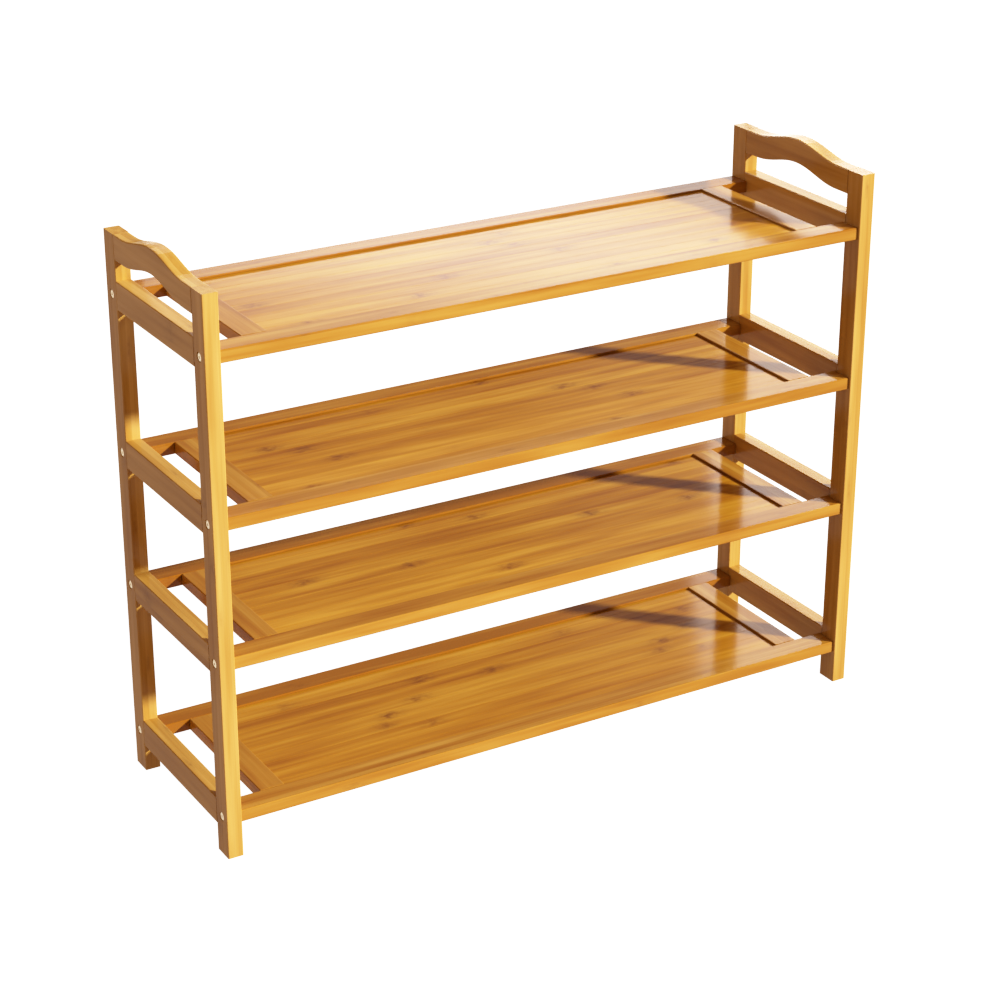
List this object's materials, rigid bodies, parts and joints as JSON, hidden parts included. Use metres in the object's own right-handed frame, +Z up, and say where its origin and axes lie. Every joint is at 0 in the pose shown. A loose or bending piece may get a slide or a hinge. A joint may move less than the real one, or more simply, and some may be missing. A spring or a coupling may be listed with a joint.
{
  "type": "tiered shoe rack",
  "caption": "Free-standing bamboo shoe rack: open shelves of recessed laminated panels in rail and batten frames, held between two end frames with arched handle rails.",
  "frame": {"origin": "on the floor, in the middle of the rack's footprint", "axes": "+X along the shelves towards the right end as seen from the front, +Y from the front to the back, +Z up"},
  "size_m": [0.88, 0.265, 0.693],
  "materials": {
    "post_bamboo": "clear-lacquered golden bamboo, satin",
    "rail_bamboo": "clear-lacquered carbonised bamboo, satin",
    "panel_bamboo": "clear-lacquered laminated bamboo, semi-gloss",
    "bolt_steel": "nickel-plated, satin"
  },
  "bodies": {
    "root": {"left_front_post": "post_bamboo", "left_back_post": "post_bamboo", "left_side_rail_1": "post_bamboo", "left_side_rail_2": "post_bamboo", "left_side_rail_3": "post_bamboo", "left_side_rail_4": "post_bamboo", "left_handle_rail": "post_bamboo", "right_front_post": "post_bamboo", "right_back_post": "post_bamboo", "right_side_rail_1": "post_bamboo", "right_side_rail_2": "post_bamboo", "right_side_rail_3": "post_bamboo", "right_side_rail_4": "post_bamboo", "right_handle_rail": "post_bamboo", "tier_1_front_rail": "rail_bamboo", "tier_1_back_rail": "rail_bamboo", "tier_1_left_batten": "rail_bamboo", "tier_1_right_batten": "rail_bamboo", "tier_1_panel": "panel_bamboo", "tier_1_bolt_left_front": "bolt_steel", "tier_1_bolt_left_back": "bolt_steel", "tier_1_bolt_right_front": "bolt_steel", "tier_1_bolt_right_back": "bolt_steel", "tier_2_front_rail": "rail_bamboo", "tier_2_back_rail": "rail_bamboo", "tier_2_left_batten": "rail_bamboo", "tier_2_right_batten": "rail_bamboo", "tier_2_panel": "panel_bamboo", "tier_2_bolt_left_front": "bolt_steel", "tier_2_bolt_left_back": "bolt_steel", "tier_2_bolt_right_front": "bolt_steel", "tier_2_bolt_right_back": "bolt_steel", "tier_3_front_rail": "rail_bamboo", "tier_3_back_rail": "rail_bamboo", "tier_3_left_batten": "rail_bamboo", "tier_3_right_batten": "rail_bamboo", "tier_3_panel": "panel_bamboo", "tier_3_bolt_left_front": "bolt_steel", "tier_3_bolt_left_back": "bolt_steel", "tier_3_bolt_right_front": "bolt_steel", "tier_3_bolt_right_back": "bolt_steel", "tier_4_front_rail": "rail_bamboo", "tier_4_back_rail": "rail_bamboo", "tier_4_left_batten": "rail_bamboo", "tier_4_right_batten": "rail_bamboo", "tier_4_panel": "panel_bamboo", "tier_4_bolt_left_front": "bolt_steel", "tier_4_bolt_left_back": "bolt_steel", "tier_4_bolt_right_front": "bolt_steel", "tier_4_bolt_right_back": "bolt_steel"}
  },
  "joints": []
}
